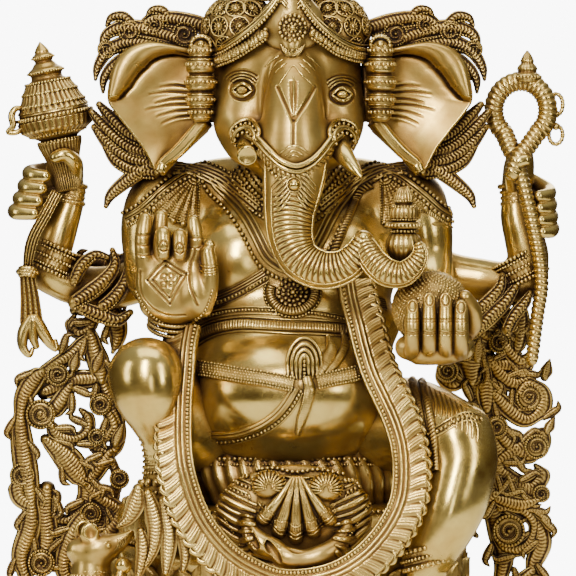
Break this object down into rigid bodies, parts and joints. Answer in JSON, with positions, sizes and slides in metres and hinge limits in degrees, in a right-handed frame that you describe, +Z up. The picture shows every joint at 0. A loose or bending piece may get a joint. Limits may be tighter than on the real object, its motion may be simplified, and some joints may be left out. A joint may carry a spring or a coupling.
{
  "type": "ganesha idol",
  "caption": "Cast brass seated elephant-headed deity with four arms, hollow lotus seat and plinth, openwork side pillars, garland, goad, noose and mouse.",
  "frame": {"origin": "centre of the plinth's underside, on the surface that the idol stands on", "axes": "+Z up, the figure faces -Y, +X towards the figure's left hand"},
  "size_m": [0.46, 0.264, 0.7],
  "materials": {
    "polished_brass": "polished, with brown patina in the hollows",
    "chased_brass": "antique, chased, dark in the hollows",
    "steel": "plain"
  },
  "bodies": {
    "root": {"base_plinth": "polished_brass", "lotus_base": "chased_brass", "lotus_throne": "chased_brass", "seat_cushion": "chased_brass", "foot_lotus": "chased_brass", "waist_cloth": "chased_brass", "torso": "polished_brass", "right_leg": "polished_brass", "left_leg": "polished_brass", "front_pleats": "chased_brass", "snake_belt": "chased_brass", "garland": "chased_brass", "head": "polished_brass", "trunk": "polished_brass", "broken_tusk": "polished_brass", "whole_tusk": "polished_brass", "right_ear": "polished_brass", "left_ear": "polished_brass", "right_ear_pendant": "chased_brass", "left_ear_pendant": "chased_brass", "right_plume": "chased_brass", "left_plume": "chased_brass", "diadem": "chased_brass", "crown": "chased_brass", "crown_finial": "chased_brass", "necklace": "chased_brass", "belly_band": "chased_brass", "front_right_arm": "polished_brass", "front_right_hand": "polished_brass", "front_left_arm": "polished_brass", "front_left_hand": "polished_brass", "sweets_ball": "chased_brass", "trunk_sweet": "chased_brass", "rear_right_arm": "polished_brass", "rear_right_hand": "polished_brass", "rear_left_arm": "polished_brass", "rear_left_hand": "polished_brass", "right_armlet": "chased_brass", "left_armlet": "chased_brass", "left_anklet": "chased_brass", "goad": "chased_brass", "noose": "chased_brass", "right_scarf": "chased_brass", "noose_tail": "chased_brass", "right_pillar": "chased_brass", "left_pillar": "chased_brass", "mouse": "polished_brass", "figure_bolts": "steel", "pillar_bolts": "steel", "joint_dowels": "steel"}
  },
  "joints": []
}
